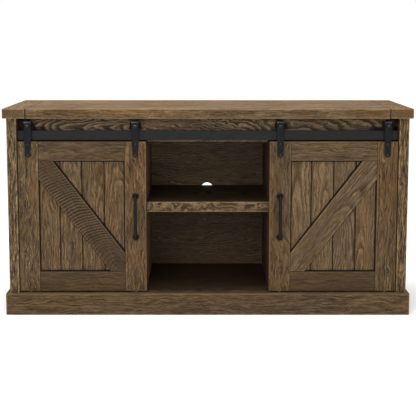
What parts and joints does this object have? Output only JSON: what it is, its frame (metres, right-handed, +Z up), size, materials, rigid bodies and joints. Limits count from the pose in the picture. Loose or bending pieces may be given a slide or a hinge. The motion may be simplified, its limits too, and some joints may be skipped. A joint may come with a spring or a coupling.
{
  "type": "media console",
  "caption": "Farmhouse TV stand in weathered oak with an open centre bay, a shelf and sliding braced barn doors hung from a black flat rail.",
  "frame": {"origin": "on the floor, at the middle of the whole object's box", "axes": "+X to the right as seen from the front, +Y from the front to the back, +Z up"},
  "size_m": [1.524, 0.4662, 0.781],
  "materials": {
    "oak": "weathered brown oak, satin",
    "oak_inside": "dark brown oak veneer, satin",
    "black_iron": "black powder coat",
    "black_nylon": "moulded black nylon",
    "brown_nylon": "moulded brown nylon",
    "zinc_steel": "bright zinc plate"
  },
  "bodies": {
    "carcass": {"back_panel": "oak_inside", "back_panel_screws": "zinc_steel", "base_back_rail": "oak_inside", "base_cross_rails": "oak_inside", "base_front_rail": "oak_inside", "breadboard_end_left": "oak", "breadboard_end_right": "oak", "center_shelf": "oak_inside", "deck": "oak_inside", "end_panel_left": "oak", "end_panel_right": "oak", "fascia": "oak", "partition_left": "oak_inside", "partition_right": "oak_inside", "plinth_front": "oak", "plinth_left": "oak", "plinth_right": "oak", "rail": "black_iron", "rail_screws": "black_iron", "rail_spacers": "black_iron", "shelf_pins": "zinc_steel", "side_shelf_left": "oak_inside", "side_shelf_right": "oak_inside", "sill": "oak", "top_back_rail": "oak_inside", "top_board": "oak", "top_cleats": "oak_inside"},
    "left_door": {"left_door_axle_bolts": "black_iron", "left_door_bottom_rail": "oak", "left_door_brace": "oak", "left_door_glides": "brown_nylon", "left_door_inner_stile": "oak", "left_door_inner_strap": "black_iron", "left_door_lag_screws": "black_iron", "left_door_outer_stile": "oak", "left_door_outer_strap": "black_iron", "left_door_planks": "oak", "left_door_pull": "black_iron", "left_door_pull_screws": "zinc_steel", "left_door_top_rail": "oak"},
    "right_door": {"right_door_axle_bolts": "black_iron", "right_door_bottom_rail": "oak", "right_door_brace": "oak", "right_door_glides": "brown_nylon", "right_door_inner_stile": "oak", "right_door_inner_strap": "black_iron", "right_door_lag_screws": "black_iron", "right_door_outer_stile": "oak", "right_door_outer_strap": "black_iron", "right_door_planks": "oak", "right_door_pull": "black_iron", "right_door_pull_screws": "zinc_steel", "right_door_top_rail": "oak"},
    "left_outer_roller": {"left_door_outer_roller": "black_nylon"},
    "left_inner_roller": {"left_door_inner_roller": "black_nylon"},
    "right_outer_roller": {"right_door_outer_roller": "black_nylon"},
    "right_inner_roller": {"right_door_inner_roller": "black_nylon"}
  },
  "joints": [
    {"name": "left_door_slide", "type": "slide", "parent": "carcass", "child": "left_door", "axis": [1, 0, 0], "range_m": [0, 0.229]},
    {"name": "right_door_slide", "type": "slide", "parent": "carcass", "child": "right_door", "axis": [-1, 0, 0], "range_m": [0, 0.229]},
    {"name": "left_outer_roller_spin", "type": "hinge", "parent": "left_door", "child": "left_outer_roller", "pos_m": [-0.672, -0.1919, 0.714], "axis": [0, 1, 0], "range_deg": [-5, 825]},
    {"name": "left_inner_roller_spin", "type": "hinge", "parent": "left_door", "child": "left_inner_roller", "pos_m": [-0.271, -0.1919, 0.714], "axis": [0, 1, 0], "range_deg": [-5, 825]},
    {"name": "right_outer_roller_spin", "type": "hinge", "parent": "right_door", "child": "right_outer_roller", "pos_m": [0.672, -0.1919, 0.714], "axis": [0, -1, 0], "range_deg": [-5, 825]},
    {"name": "right_inner_roller_spin", "type": "hinge", "parent": "right_door", "child": "right_inner_roller", "pos_m": [0.271, -0.1919, 0.714], "axis": [0, -1, 0], "range_deg": [-5, 825]}
  ],
  "couplings": [
    {"joint": "left_outer_roller_spin", "follows": "left_door_slide", "rad_per_m": 62.5},
    {"joint": "left_inner_roller_spin", "follows": "left_door_slide", "rad_per_m": 62.5},
    {"joint": "right_outer_roller_spin", "follows": "right_door_slide", "rad_per_m": 62.5},
    {"joint": "right_inner_roller_spin", "follows": "right_door_slide", "rad_per_m": 62.5}
  ]
}
